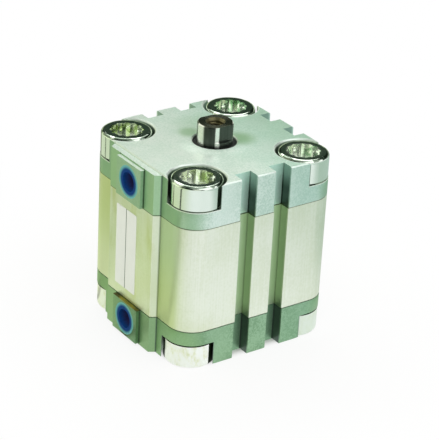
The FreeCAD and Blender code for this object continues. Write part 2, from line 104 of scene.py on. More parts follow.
class Finish:
    """The node tree of a material or of the world, its shader, and the one way to add nodes to it."""

    def __init__(self, owner, shader):
        owner.use_nodes = True
        self.owner = owner
        self.tree = owner.node_tree
        self.shader = self.tree.nodes[shader]

    def node(self, kind, settings=None, sockets=None, output=0):
        """Adds a node, sets it up, feeds its sockets and gives back one of its outputs."""
        made = self.tree.nodes.new(kind)
        for word, value in (settings or {}).items():
            if word == "stops":
                self.set_stops(made.color_ramp, value)
            else:
                setattr(made, word, value)
        for place, value in (sockets or {}).items():
            self.feed(made.inputs[place], value)
        return Level(self, made.outputs[output])

    def set_stops(self, ramp, stops):
        while len(ramp.elements) < len(stops):
            ramp.elements.new(1.0)
        for element, (position, colour) in zip(ramp.elements, stops):
            element.position = position
            element.color = colour

    def feed(self, socket, value):
        """Links a level to a socket, or sets a plain value on it."""
        if isinstance(value, Level):
            self.tree.links.new(value.socket, socket)
        else:
            socket.default_value = value

    def dress(self, **values):
        """Feeds the shader's own sockets, whose names have _ in place of a space."""
        for words, value in values.items():
            self.feed(self.shader.inputs[words.replace("_", " ")], value)

    def place(self):
        """The spot on the piece, in metres in the cylinder's own frame."""
        return self.node("ShaderNodeTexCoord", output="Object")

    def axis(self, vector, letter):
        return self.node("ShaderNodeSeparateXYZ", None, {0: vector}, output=letter)

    def measures(self, vector):
        """A vector's three parts."""
        return [self.axis(vector, letter) for letter in "XYZ"]

    def facing(self, direction):
        """1 where the surface faces a direction, fading to 0 where it is square to it."""
        normal = self.node("ShaderNodeTexCoord", output="Normal")
        return self.rescale(self.dot(normal, direction), 0.3, 0.95)

    def stretch(self, vector, factors):
        return self.node("ShaderNodeVectorMath", {"operation": "MULTIPLY"}, {0: vector, 1: factors})

    def length(self, vector):
        return self.node("ShaderNodeVectorMath", {"operation": "LENGTH"}, {0: vector}, output="Value")

    def dot(self, vector, direction):
        """How far a spot lies along a direction."""
        sockets = {0: vector, 1: direction}
        return self.node("ShaderNodeVectorMath", {"operation": "DOT_PRODUCT"}, sockets, output="Value")

    def near(self, vector, direction, core, edge):
        """1 within a few degrees of a direction, fading to 0 further off."""
        outer, inner = (math.cos(math.radians(angle)) for angle in (edge, core))
        return self.rescale(self.dot(vector, direction), outer, inner)

    def sector(self, vector, azimuth, core, edge):
        """1 within a few degrees of an azimuth round the axis, fading to 0 further off."""
        flat = self.stretch(vector, (1.0, 1.0, 0.0))
        around = self.node("ShaderNodeVectorMath", {"operation": "NORMALIZE"}, {0: flat})
        return self.near(around, toward(azimuth, 0), core, edge)

    def apart(self, across, along):
        """The distance of a spot from an axis."""
        return self.node("ShaderNodeMath", {"operation": "SQRT"}, {0: across * across + along * along})

    def noise(self, vector, scale, detail=3.0, rough=0.5):
        sockets = {"Vector": vector, "Scale": scale, "Detail": detail, "Roughness": rough}
        return self.node("ShaderNodeTexNoise", None, sockets)

    def rescale(self, level, low, high, to_low=0.0, to_high=1.0):
        """A level that goes smoothly from one value to another as a level goes from low to high."""
        sockets = {0: level, 1: low, 2: high, 3: to_low, 4: to_high}
        return self.node("ShaderNodeMapRange", {"interpolation_type": "SMOOTHSTEP"}, sockets)

    def blend(self, share, first, second):
        """A colour between two others."""
        return self.node(
            "ShaderNodeMix", {"data_type": "RGBA"}, {0: share, 6: first, 7: second}, output=2
        )

    def coats(self, tone, *layers):
        """A tone under coats, each given as where it lies, its strength and its colour."""
        for cover, strength, colour in layers:
            tone = self.blend(cover * strength, tone, colour)
        return tone

    def relief(self, height, depth, strength):
        """A normal bent by a height that varies between 0 and 1 over a depth in metres."""
        sockets = {"Height": height, "Distance": depth, "Strength": strength}
        return self.node("ShaderNodeBump", None, sockets)


def linear(channel):
    """One channel of a screen colour, from 0 to 255, as light."""
    share = channel / 255
    return share / 12.92 if share <= 0.04045 else ((share + 0.055) / 1.055) ** 2.4


def tint(red, green, blue):
    """A colour as it is seen on a screen, from 0 to 255, turned into light."""
    return (linear(red), linear(green), linear(blue), 1.0)


def new_finish(name, **constants):
    """A material's finish, with the constants set on its shader's own sockets."""
    finish = Finish(bpy.data.materials.new(name), "Principled BSDF")
    finish.dress(**constants)
    return finish


# Marks that several finishes use. A zone runs from where a mark begins to where it shows in full

FACE_SLACK = 0.2 * MM
OFF_BODY = -BODY_FACE - FACE_SLACK
PORT_SIDE = (-28.5 * MM, -BODY_FACE)
GROOVE_MOUTH = (BODY_FACE - 0.1 * MM, BODY_FACE - 0.9 * MM)
CORNER_SPREAD = (-2 * MM, 8 * MM)

# Creases on the port side: distance from the middle, depth of the face, half width and half depth
SHOULDER_CREASE = (SHOULDER_FOOT, -BODY_FACE, 0.28 * MM, 0.3 * MM)
BOSS_CREASE = (BOSS_SIDE, PAD_FACE, 0.32 * MM, 0.32 * MM)


def groove_section(x, y):
    """How far out a spot lies on a grooved side, and how far from its groove's middle."""
    outward = abs(x).larger(y)
    beside = abs(x).smaller(abs(y))
    return outward, abs(beside - GROOVE_AXIS)


def groove_marks(finish, outward, aside):
    """Two marks of the sensor grooves: their inside and their side walls."""
    depth = finish.rescale(outward, *GROOVE_MOUTH)
    inside = depth * (outward > GROOVE_FLOOR) * (aside < GROOVE_REACH)
    return inside, inside * (aside > GROOVE_WALL)


def crease_mark(x, y, side, face, half_width, half_depth):
    """The two lines where something slanted or raised stands on a face of the port side."""
    return (abs(abs(x) - side) < half_width) * (abs(y - face) < half_depth)


def screw_distance(finish, x, y):
    """How far a spot lies from the nearest collar screw's axis."""
    return finish.apart(abs(x) - SCREW_AXIS, abs(y) - SCREW_AXIS)


def in_corner(finish, x, y):
    """From 0 on the inner side of the screws' axes to 1 in the body's corners."""
    across, along = (finish.rescale(abs(side) - SCREW_AXIS, *CORNER_SPREAD) for side in (x, y))
    return across * along


# Barrel: zones across it, toward the ports and in height, then its thin marks

PORT_SHADE_RIGHTWARD = (-5 * MM, 5 * MM)
BARREL_PAD = (-30.2 * MM, -31.2 * MM)
PORT_SHADE_DOWNWARD = (45 * MM, 18 * MM)
GROOVE_FOOT = (19 * MM, 14 * MM)
CREASE_SIDE = GROOVE_WALL - 0.4 * MM
CREASE_TOP = GROOVE_FLOOR + 0.75 * MM
SEAM_WIDTH = 0.28 * MM


def seam_and_shade(finish, x, y, z):
    """A dark joint line at the barrel's ends, and painted shade in its grooves' creases and walls, deeper
    toward the rear cap, and at the pad's shoulders.
    """
    seam = abs(z - BARREL_MIDDLE) > BARREL_HALF - SEAM_WIDTH
    outward, aside = groove_section(x, y)
    groove, wall = groove_marks(finish, outward, aside)
    crease = groove * (aside > CREASE_SIDE) * (outward < CREASE_TOP)
    foot = wall * finish.rescale(z, *GROOVE_FOOT)
    shoulder = crease_mark(x, y, *SHOULDER_CREASE)
    return seam * 0.75 + crease * 0.2 + wall * 0.25 + foot * 0.35 + shoulder * 0.5


def extruded_alloy():
    """Anodised profile: fine draw lines along the barrel under a cloudy champagne film, with painted shade
    beside the pad on the port side and inside the grooves.
    """
    finish = new_finish("extruded_alloy", Metallic=0.88)
    place = finish.place()
    x, y, z = finish.measures(place)

    draw_lines = finish.noise(finish.stretch(place, (1.0, 1.0, 0.012)), scale=2600.0, detail=2.0)
    mottle = finish.noise(place, scale=1100.0)
    cloud = finish.noise(place, scale=60.0)
    mark = draw_lines * 0.3 + mottle * 0.3 + cloud * 0.4
    film = finish.rescale(mark, 0.38, 0.62)
    stain = finish.rescale(finish.noise(place, scale=38.0, detail=4.0), 0.5, 0.72)
    smear = finish.noise(finish.stretch(place, (1.0, 1.0, 0.3)), scale=150.0, detail=4.0)
    wear = finish.noise(finish.stretch(place, (1.0, 1.0, 0.4)), scale=115.0)

    beside_pad = finish.rescale(y, *PORT_SIDE) * (y > OFF_BODY)
    shoulder = (y < OFF_BODY) * (y > PAD_FACE + FACE_SLACK)
    on_pad = finish.rescale(y, *BARREL_PAD)
    groove, wall = groove_marks(finish, *groove_section(x, y))

    # Painted shade beside the pad on the port side: a dimmer, greener tone that changes across the side and
    # with height
    lower = finish.rescale(z, *PORT_SHADE_DOWNWARD)
    left_shade_tone = finish.blend(lower, tint(206, 218, 140), tint(240, 244, 214))
    right_shade_tone = finish.blend(lower, tint(184, 208, 166), tint(196, 212, 146))
    port_shade_tone = finish.blend(finish.rescale(x, *PORT_SHADE_RIGHTWARD), left_shade_tone, right_shade_tone)

    champagne = finish.coats(
        finish.blend(film, tint(226, 233, 208), tint(238, 243, 225)),
        (stain, 0.4, tint(212, 218, 176)),
        (beside_pad, 0.7, port_shade_tone),
        (shoulder, 0.4, tint(206, 220, 178)),
        (finish.rescale(smear, 0.48, 0.7) * on_pad, 0.55, tint(200, 208, 130)),
        (finish.rescale(wear, 0.46, 0.32) * on_pad, 0.6, tint(236, 240, 222)),
        # Painted shade inside the grooves
        (groove, 0.85, tint(192, 219, 175)),
        # A dark joint line at both ends, and painted shade in the grooves' creases and walls and at the
        # pad's shoulders
        (seam_and_shade(finish, x, y, z), 1.0, tint(72, 86, 52)),
    )
    finish.dress(
        Base_Color=champagne,
        Roughness=0.36 + 0.08 * film + 0.06 * wall,
        Normal=finish.relief(mark, depth=0.006 * MM, strength=0.5),
    )
    return finish.owner


# Caps: zones across them, toward or away from the ports, in height and round the screws

LEFT_HALF = (2 * MM, -12 * MM)
CAP_PAD = PAD_FACE - 0.3 * MM
FAR_SHADE_BACKWARD = (-10 * MM, 30 * MM)
FAR_TOP = (0.0, 30 * MM)
LIGHTER_BAND_BEGIN = (-8 * MM, -15 * MM)
LIGHTER_BAND_END = (-22 * MM, -18 * MM)
NEAR_LIGHT_SPAN = (10 * MM, -20 * MM)
GROOVE_DEEP = (65 * MM, 57 * MM)
GAP_MOUTH = (64.4 * MM, 65.3 * MM)
POCKET_BED = MID_HEIGHT + POCKET_FLOOR - 0.1 * MM
POCKET_LIP = (POCKET_RADIUS + 0.9 * MM, POCKET_RADIUS)
OFF_CORNER = 0.04
GLINT_WHITE = tint(246, 252, 246)

# The dull patch in front of the rod: distance from the axis, and azimuth, core and edge in degrees
DULL_RING = (14.5 * MM, 10 * MM)
DULL_SECTOR = (56, 35, 75)

# Painted shadows of the rod on the front cap's top, beside it: place, outer and inner reach, and strength
# of each patch
ROD_SHADOW_PATCHES = (
    (-11 * MM, 3 * MM, 14 * MM, 3 * MM, 0.4),
    (2.8 * MM, 8 * MM, 7.5 * MM, 1.5 * MM, 0.95),
    (-9.2 * MM, -4 * MM, 5.2 * MM, 1.5 * MM, 0.95),
)

# A cap's tones in order: skin dark and light; painted shade toward the far side; softer painted shade over
# the port side, the far top and beside the rod; painted shade in the corners and outside the shoulders; a
# less shaded tone for the pad; painted light on the near top; the grooves' floors; and deep painted shade
# in creases and groove walls
CapTones = namedtuple("CapTones", "dark light far patina corner pad rubbed groove shade")
FRONT_TONES = CapTones(
    dark=tint(195, 219, 203),
    light=tint(227, 241, 230),
    far=tint(172, 214, 198),
    patina=tint(148, 186, 146),
    corner=tint(148, 186, 146),
    pad=tint(166, 204, 154),
    rubbed=tint(214, 219, 208),
    groove=tint(210, 248, 230),
    shade=tint(38, 62, 48),
)
# The rear cap: a darker, greener copy of the front cap's tones, painted shade on the same finish
REAR_SHADED_TONES = CapTones(
    dark=tint(126, 163, 126),
    light=tint(155, 190, 154),
    far=tint(132, 176, 142),
    patina=tint(102, 140, 100),
    corner=tint(148, 185, 135),
    pad=tint(160, 192, 146),
    rubbed=tint(142, 178, 142),
    groove=tint(128, 166, 134),
    shade=tint(78, 92, 84),
)


def in_pocket(finish, x, y, z):
    """1 in the pockets of the screw heads."""
    return (screw_distance(finish, x, y) < POCKET_RADIUS) * (abs(z - MID_HEIGHT) > POCKET_FLOOR)


def port_and_far_shade_coats(finish, x, y, z, port_side, tones):
    """Painted shade on a cap: toward its far side, over its port side, less of it on the pad and its left
    half, and round its corners below the screw heads.
    """
    on_pad = (y < OFF_BODY) * (y > CAP_PAD)
    outside = abs(x) > SHOULDER_FOOT
    corner = in_corner(finish, x, y) * (1.0 - in_pocket(finish, x, y, z))
    return (
        (finish.rescale(y, *FAR_SHADE_BACKWARD), 0.5, tones.far),
        (port_side, 0.72, tones.patina),
        (on_pad * port_side, 0.6, tones.pad),
        (finish.rescale(x, *LEFT_HALF) * port_side, 0.6, tones.pad),
        (outside * port_side, 0.8, tones.corner),
        (corner, 1.0, tones.corner),
    )


def top_shade_coats(finish, x, y, top, tones):
    """Painted shade on a cap's top, toward its back and as the rod's shadows beside it, and a lighter band
    down its sides.
    """
    lighter_band = finish.rescale(y, *LIGHTER_BAND_BEGIN) * finish.rescale(y, *LIGHTER_BAND_END)
    coats = [
        (finish.rescale(y, *FAR_TOP) * top, 0.35, tones.patina),
        (lighter_band * (1.0 - top), 0.6, tones.light),
    ]
    for across, along, outer, inner, strength in ROD_SHADOW_PATCHES:
        shade_patch = finish.rescale(finish.apart(x - across, y - along), outer, inner)
        coats.append((shade_patch * top, strength, tones.patina))
    return coats


def highlight_coats(finish, x, y, z, top, tones):
    """Painted highlights on a cap: along the pockets' floor edges and round their lips, over its top's near
    half, and along its top edges.
    """
    distance = screw_distance(finish, x, y)
    bed = (distance < POCKET_RADIUS) * (abs(z - POCKET_BED) < FACE_SLACK)
    lip = (distance > POCKET_RADIUS) * finish.rescale(distance, *POCKET_LIP)
    # Painted highlight along the round top edges, strongest halfway round them
    half_round_edge = 4.0 * top * (1.0 - top)
    return (
        (bed, 0.75, tint(246, 252, 240)),
        (top * finish.rescale(y, *NEAR_LIGHT_SPAN), 0.35, tones.rubbed),
        (lip * top, 0.7, GLINT_WHITE),
        (half_round_edge, 0.7, GLINT_WHITE),
    )


def shaded_coats(finish, x, y, z, port_side, cloud, tones):
    """Painted shade in a cap's creases, on its groove walls, more lower down, and in the gaps round the
    screw heads, fading to light at their mouths; a tone of its own on the grooves' floors; and a mottled
    dark olive on the boss's ledge at the rear joint.
    """
    crease = crease_mark(x, y, *SHOULDER_CREASE) + crease_mark(x, y, *BOSS_CREASE)
    groove, wall = groove_marks(finish, *groove_section(x, y))
    deep = finish.rescale(z, *GROOVE_DEEP)
    ledge = (abs(z - REAR_JOINT) < FACE_SLACK) * (y < PAD_FACE)
    ledge_tone = finish.blend(finish.rescale(cloud, 0.4, 0.6), tint(74, 68, 14), tint(160, 148, 48))
    gap = in_pocket(finish, x, y, z) * (in_corner(finish, x, y) < OFF_CORNER)
    gap_tone = finish.blend(finish.rescale(z, *GAP_MOUTH), tint(126, 146, 130), tint(230, 240, 230))
    return (
        (crease * port_side, 0.7, tones.shade),
        (groove, 0.7, tones.groove),
        (wall * (0.5 + 0.45 * deep), 1.0, tones.shade),
        (ledge, 0.95, ledge_tone),
        (gap, 1.0, gap_tone),
    )


def blasted_alloy(name, tones):
    """Cast cap with a blasted skin: a fine grain, a faint cloud of tone, painted shade on its far and port
    sides and in its creases, grooves and narrow gaps, and painted highlights on its edges and near top.
    """
    finish = new_finish(name)
    place = finish.place()
    x, y, z = finish.measures(place)
    top = finish.facing(UP)
    port_side = finish.rescale(y, *PORT_SIDE) * (1.0 - top)
    grain = finish.noise(place, scale=1900.0, detail=2.0, rough=0.6)
    cloud = finish.noise(place, scale=110.0, detail=4.0)
    skin = finish.rescale(grain * 0.6 + cloud * 0.4, 0.38, 0.62)
    dull = finish.rescale(finish.apart(x, y), *DULL_RING) * top * finish.sector(place, *DULL_SECTOR)
    skin_tone = finish.coats(
        finish.blend(skin, tones.dark, tones.light),
        *port_and_far_shade_coats(finish, x, y, z, port_side, tones),
        *top_shade_coats(finish, x, y, top, tones),
        *highlight_coats(finish, x, y, z, top, tones),
        *shaded_coats(finish, x, y, z, port_side, cloud, tones),
    )
    finish.dress(
        Base_Color=skin_tone,
        Metallic=0.8 - 0.7 * dull,
        Roughness=0.46 - 0.08 * skin + 0.2 * dull,
        Normal=finish.relief(grain, depth=0.006 * MM, strength=0.6),
    )
    return finish.owner


# Screws. RIM_HEIGHT counts from MID_HEIGHT. A lit socket takes patches of painted shade on one half, toward
# the way given below

SOCKET_SLACK = 0.1 * MM
RIM_RADIUS = 7.5 * MM
RIM_HEIGHT = 32.1 * MM
FRONT_RELIEF_SHARE = 0.6
SLOT_INSET = 1.9 * MM
SHADED_WAY = (0.59, 0.81)
SHADED_HALF = (-1.5 * MM, 1.5 * MM)


def socket_shade(finish, place, x, y, lit):
    """Patches of painted shade in the broached sockets: over one half of the lit ones and all of the
    others.
    """
    across, along = (side - SCREW_AXIS * ((side > 0.0) * 2.0 - 1.0) for side in (x, y))
    half = finish.rescale(across * SHADED_WAY[0] + along * SHADED_WAY[1], *SHADED_HALF)
    patches = finish.rescale(finish.noise(place, scale=340.0, detail=2.0), 0.44, 0.58)
    return patches * (half * lit + (1.0 - lit))


def plated_steel():
    """Bright nickel on turned steel: patches of painted shade in the broached sockets, painted shade under
    the heads, broken painted reflections round the upper heads' rims, and the lower heads dull and stained.
    """
    finish = new_finish("plated_steel")
    place = finish.place()
    x, y, z = finish.measures(place)
    cloud = finish.noise(place, scale=260.0)
    turning = finish.noise(finish.stretch(place, (0.15, 0.15, 1.0)), scale=5200.0, detail=2.0)
    spots = finish.noise(finish.stretch(place, (1.0, 1.0, 0.5)), scale=480.0, detail=5.0, rough=0.65)
    rim_reflections = finish.noise(finish.stretch(place, (1.0, 1.0, 0.0)), scale=210.0, detail=1.0)

    near = y < 0.0
    lit = x > 0.0
    lower = z < MID_HEIGHT
    distance = screw_distance(finish, x, y)
    broached = distance < BROACHED_RADIUS
    dulled = lower * (1.0 - broached)
    rear_floor, front_floor = (abs(z - level) < SOCKET_SLACK for level in SOCKET_FLOORS)
    floor = broached * (rear_floor + front_floor)
    rim = (distance > RIM_RADIUS) * (abs(z - MID_HEIGHT) > RIM_HEIGHT) * (1.0 - lower)
    # Painted shade under the heads, dark on the lower ones, and on the near lower head's side where it
    # stands in its pocket's slot
    relief_share = FRONT_RELIEF_SHARE + (1.0 - FRONT_RELIEF_SHARE) * lower
    relief_top = POCKET_FLOOR + HEAD_RELIEF * relief_share
    under_head = (abs(z - MID_HEIGHT) < relief_top) * (1.0 - broached)
    slot = (abs(x).smaller(abs(y)) < SCREW_AXIS - SLOT_INSET) * dulled * near * lit
    head_shade = under_head.larger(slot)

    # Tone of the painted shade in the sockets, greener on the port side
    socket_shade_tone = finish.blend(near, tint(126, 186, 132), tint(160, 186, 92))
    shade_patch = socket_shade(finish, place, x, y, lit)
    socket_tone = finish.blend(shade_patch * 0.7, tint(250, 255, 244), socket_shade_tone)
    plate = finish.coats(
        finish.blend(cloud, tint(218, 230, 214), tint(232, 241, 226)),
        (dulled, 0.9, tint(253, 254, 250)),
        (finish.rescale(spots, 0.44, 0.76) * dulled, 0.65, tint(208, 214, 140)),
        (dulled * (1.0 - near), 0.7, tint(216, 230, 210)),
        (broached, 1.0, socket_tone),
        (floor, 1.0, tint(248, 252, 244)),
        # Painted reflection: broken dark streaks round the upper heads' rims
        (rim * finish.rescale(rim_reflections, 0.47, 0.53), 0.8, tint(84, 104, 84)),
        (head_shade, 1.0, finish.blend(lower, tint(112, 132, 104), tint(26, 36, 20))),
    )
    finish.dress(
        Base_Color=plate,
        Metallic=1.0 - 0.35 * dulled * (1.0 - head_shade) - 0.08 * broached * lit,
        Roughness=0.06 + 0.08 * cloud + 0.1 * floor + 0.2 * dulled + 0.3 * head_shade,
        Normal=finish.relief(turning, depth=0.004 * MM, strength=0.3),
    )
    return finish.owner


# Rod

END_SLACK = 0.06 * MM

# Painted reflections along the rod, as bright streaks: azimuth and half width in degrees, and the share at
# full strength
ROD_REFLECTIONS = ((0, 20), (63, 9), (150, 14), (232, 22))
STREAK_CORE = 0.45


def hard_chrome():
    """Plated rod with painted reflections along it, bright streaks and dark between them, with a dull end
    and a brown bore.
    """
    finish = new_finish("hard_chrome", Metallic=1.0, Anisotropic=0.6, Anisotropic_Rotation=0.25)
    place = finish.place()
    across = finish.stretch(place, (1.0, 1.0, 0.0))
    grinding = finish.noise(finish.stretch(place, (0.1, 0.1, 1.0)), scale=3800.0)
    rod_reflections = finish.noise(across, scale=420.0, detail=2.0) * 0.12
    for azimuth, half_width in ROD_REFLECTIONS:
        rod_reflections = rod_reflections + finish.sector(across, azimuth, half_width * STREAK_CORE, half_width)
    bore = finish.length(across) < ROD_BORE
    end_face = (finish.axis(place, "Z") > ROD_END - END_SLACK) * (1.0 - bore)
    plate = finish.coats(
        finish.blend(rod_reflections, tint(40, 52, 42), tint(252, 252, 246)),
        (end_face, 1.0, tint(112, 114, 98)),
        (bore, 1.0, tint(118, 112, 82)),
    )
    finish.dress(
        Base_Color=plate,
        Roughness=0.24 + 0.1 * grinding + 0.2 * bore - 0.08 * end_face,
        Normal=finish.relief(grinding, depth=0.004 * MM, strength=0.3),
    )
    return finish.owner


# Plugs, label and small pieces

PLUG_RIM = (4.1 * MM, 5.4 * MM)
PLUG_CUP = (3.8 * MM, 2.6 * MM)
PLUG_HOLLOW = (PLUG_DEPTH - 4 * MM, PLUG_DEPTH)

# The label on the pad. Its steps say how far each ring of its edge lies inward and stands proud
LABEL_ACROSS = (-8.5 * MM, 3.5 * MM)
LABEL_ALONG = (17.3 * MM, 46.5 * MM)
LABEL_CORNER = 0.4 * MM
LABEL_STEPS = ((0.0, -0.01 * MM), (0.0, 0.07 * MM), (0.03 * MM, 0.1 * MM))
LABEL_LINE = -2.5 * MM
LINE_EDGE = (0.2 * MM, 0.12 * MM)

# Plain finishes: dark and light tone, metal, roughness, and the grain's scale and depth
PLAIN_FINISHES = {
    "black_rubber": (tint(14, 15, 14), tint(30, 32, 30), 0.0, 0.5, 900.0, 0.02 * MM),
    "turned_alloy": (tint(168, 170, 168), tint(196, 198, 194), 1.0, 0.3, 1600.0, 0.01 * MM),
    "sintered_bronze": (tint(120, 84, 46), tint(168, 124, 74), 1.0, 0.42, 3000.0, 0.02 * MM),
    "magnet_compound": (tint(38, 36, 35), tint(62, 58, 55), 0.1, 0.6, 1800.0, 0.02 * MM),
    "guide_plastic": (tint(200, 194, 172), tint(214, 208, 188), 0.0, 0.45, 1400.0, 0.01 * MM),
    "blackened_steel": (tint(34, 34, 36), tint(58, 58, 60), 0.8, 0.4, 1500.0, 0.01 * MM),
}


def moulded_blue():
    """Blue port plug: a faint mould grain, a painted highlight round its rim and painted shade in its
    hollow, purplish deeper in.
    """
    finish = new_finish("moulded_blue", Specular_IOR_Level=0.05)
    place = finish.place()
    x, y, z = finish.measures(place)
    grain = finish.noise(place, scale=1500.0)
    cloud = finish.noise(place, scale=190.0, detail=2.0)
    radius = finish.apart(x, abs(z - PORT_MIDDLE) - PORT_SPREAD)
    hollow = finish.blend(finish.rescale(y, *PLUG_HOLLOW), tint(34, 88, 160), tint(100, 70, 104))
    blue = finish.coats(
        finish.blend(cloud, tint(8, 56, 116), tint(14, 68, 136)),
        # Painted highlight round the rim, then painted shade in the cup, purplish deeper in
        (finish.rescale(radius, *PLUG_RIM), 1.0, tint(116, 188, 182)),
        (finish.rescale(radius, *PLUG_CUP), 1.0, hollow),
    )
    finish.dress(
        Base_Color=blue,
        Roughness=0.42 + 0.14 * grain,
        Normal=finish.relief(grain, depth=0.012 * MM, strength=0.5),
    )
    return finish.owner


def label_film():
    """White plastic film with one printed line along it."""
    finish = new_finish("label_film")
    place = finish.place()
    grain = finish.noise(place, scale=1800.0)
    cloud = finish.noise(place, scale=140.0, detail=2.0)
    film = finish.blend(cloud, tint(243, 246, 238), tint(250, 252, 246))
    line = finish.rescale(abs(finish.axis(place, "X") - LABEL_LINE), *LINE_EDGE)
    finish.dress(
        Base_Color=finish.blend(line, film, tint(44, 56, 50)),
        Roughness=0.38 + 0.1 * grain,
        Normal=finish.relief(grain, depth=0.004 * MM, strength=0.4),
    )
    return finish.owner


def plain_finish(name, dark, light, metal, rough, grain_scale, depth):
    """A finish for small pieces: a grain of two tones with a little relief."""
    finish = new_finish(name, Metallic=metal, Specular_IOR_Level=0.25)
    grain = finish.noise(finish.place(), scale=grain_scale, detail=4.0, rough=0.6)
    share = finish.rescale(grain, 0.35, 0.65)
    finish.dress(
        Base_Color=finish.blend(share, dark, light),
        Roughness=rough + 0.12 * share,
        Normal=finish.relief(grain, depth, strength=0.6),
    )
    return finish.owner


# Pieces. The screws' threads begin and end at depths below their sockets' floors

THREAD_WALL = 2.5 * MM
THREAD_PITCH = 1 * MM
THREAD_STEPS = 28
RIDGE_HEIGHT = 0.34 * MM
RIDGE_ROOT = 0.06 * MM
RIDGE_HALF = 0.42 * MM
CREST_HALF = 0.07 * MM
ROD_THREAD = (59 * MM, 71.2 * MM)
SCREW_THREAD = (0.3 * MM, 9 * MM)
SHARP_ANGLE = 32
WELD_REACH = 0.0005 * MM
SOFT_EDGES = {"cylinder_barrel": 0.12 * MM, "front_cap": 0.22 * MM, "rear_cap": 0.22 * MM}


def new_piece(name, mesh, body, finish):
    """An object in the cylinder's frame that rides on a body."""
    piece = bpy.data.objects.new(name, mesh)
    bpy.context.scene.collection.objects.link(piece)
    mesh.materials.append(finish)
    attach(piece, body)
    return piece


def soften_edges(node, width):
    """Breaks a node's sharp edges with a small rounded bevel."""
    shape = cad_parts[node]
    weld = shape.modifiers.new("weld", "WELD")
    weld.merge_threshold = WELD_REACH
    bevel = shape.modifiers.new("bevel", "BEVEL")
    bevel.width = width
    bevel.segments = 2
    bevel.limit_method = "ANGLE"
    bevel.angle_limit = math.radians(SHARP_ANGLE)
    bevel.harden_normals = True
    bevel.use_clamp_overlap = True


def skin_rings(shell, rings):
    """Quads between each ring of points and the next, and a lid on both ends."""
    for ring, following in zip(rings, rings[1:]):
        for place in range(len(ring)):
            beside = (place + 1) % len(ring)
            shell.faces.new((ring[place], ring[beside], following[beside], following[place]))
    shell.faces.new(rings[0])
    shell.faces.new(reversed(rings[-1]))


def finished_mesh(shell, name):
    """The mesh of a closed shell, with its faces turned outward."""
    bmesh.ops.recalc_face_normals(shell, faces=shell.faces)
    mesh = bpy.data.meshes.new(name)
    shell.to_mesh(mesh)
    shell.free()
    return mesh


def round_outline(across, along, radius, steps=5):
    """Points round a rectangle with round corners, as (across, along) pairs."""
    points = []
    middles = (
        (across[1] - radius, along[1] - radius),
        (across[0] + radius, along[1] - radius),
        (across[0] + radius, along[0] + radius),
        (across[1] - radius, along[0] + radius),
    )
    for quarter, (x, z) in enumerate(middles):
        for step in range(steps + 1):
            angle = math.pi / 2 * (quarter + step / steps)
            points.append((x + radius * math.cos(angle), z + radius * math.sin(angle)))
    return points


def stick_label():
    """A thin film with round corners and a rounded edge, stuck on the pad."""
    shell = bmesh.new()
    rings = []
    for inset, proud in LABEL_STEPS:
        across = (LABEL_ACROSS[0] + inset, LABEL_ACROSS[1] - inset)
        along = (LABEL_ALONG[0] + inset, LABEL_ALONG[1] - inset)
        outline = round_outline(across, along, LABEL_CORNER - inset)
        rings.append([shell.verts.new((x, PAD_FACE - proud, z)) for x, z in outline])
    skin_rings(shell, rings)
    new_piece("pad_label", finished_mesh(shell, "pad_label"), "housing", label_film())


def wind_thread(shell, x, y, low, high):
    """A thread's ridge on the wall of a hole, which runs out into the wall at both ends."""
    steps = round((high - low) / THREAD_PITCH * THREAD_STEPS)
    rings = []
    for step in range(steps + 1):
        angle = 2 * math.pi * step / THREAD_STEPS
        height = low + (high - low) * step / steps
        half_turns_to_end = min(step, steps - step) / (THREAD_STEPS / 2)
        crest = THREAD_WALL - RIDGE_HEIGHT * min(1.0, half_turns_to_end)
        section = (
            (THREAD_WALL + RIDGE_ROOT, -RIDGE_HALF),
            (crest, -CREST_HALF),
            (crest, CREST_HALF),
            (THREAD_WALL + RIDGE_ROOT, RIDGE_HALF),
        )
        turn, tilt = math.cos(angle), math.sin(angle)
        rings.append([shell.verts.new((x + r * turn, y + r * tilt, height + rise)) for r, rise in section])
    skin_rings(shell, rings)


def thread_piece(name, holes, body, finish):
    """The thread ridges of some holes, as one piece that rides on the body of the node that they are cut
    in.
    """
    shell = bmesh.new()
    for x, y, low, high in holes:
        wind_thread(shell, x, y, low, high)
    mesh = finished_mesh(shell, name)
    new_piece(name, mesh, body, finish)


def cut_threads(steel, chrome):
    """Threads in the rod's end and in the eight collar screws."""
    thread_piece("rod_thread", [(0.0, 0.0, *ROD_THREAD)], "rod", chrome)
    rear, front = SOCKET_FLOORS
    near, far = SCREW_THREAD
    spans = {
        "rear_screw_threads": (rear + near, rear + far),
        "front_screw_threads": (front - far, front - near),
    }
    corners = [(x, y) for x in (-SCREW_AXIS, SCREW_AXIS) for y in (-SCREW_AXIS, SCREW_AXIS)]
    for name, span in spans.items():
        thread_piece(name, [(x, y, *span) for x, y in corners], "housing", steel)


def paint_nodes(steel, chrome):
    """Every node of the model in its own finish. The seals, O-rings and bumpers are rubber."""
    plain = {name: plain_finish(name, *values) for name, values in PLAIN_FINISHES.items()}
    plug = moulded_blue()
    finishes = {
        "cylinder_barrel": extruded_alloy(),
        "front_cap": blasted_alloy("front_cap_skin", FRONT_TONES),
        "rear_cap": blasted_alloy("rear_cap_shaded_skin", REAR_SHADED_TONES),
        "front_collar_screws": steel,
        "rear_collar_screws": steel,
        "piston_rod": chrome,
        "front_port_plug": plug,
        "rear_port_plug": plug,
        "rod_bush": plain["sintered_bronze"],
        "piston_front_disc": plain["turned_alloy"],
        "piston_rear_disc": plain["turned_alloy"],
        "magnet_ring": plain["magnet_compound"],
        "guide_ring": plain["guide_plastic"],
        "piston_screw": plain["blackened_steel"],
    }
    for name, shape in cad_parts.items():
        shape.data.materials[0] = finishes.get(name, plain["black_rubber"])


# Stage

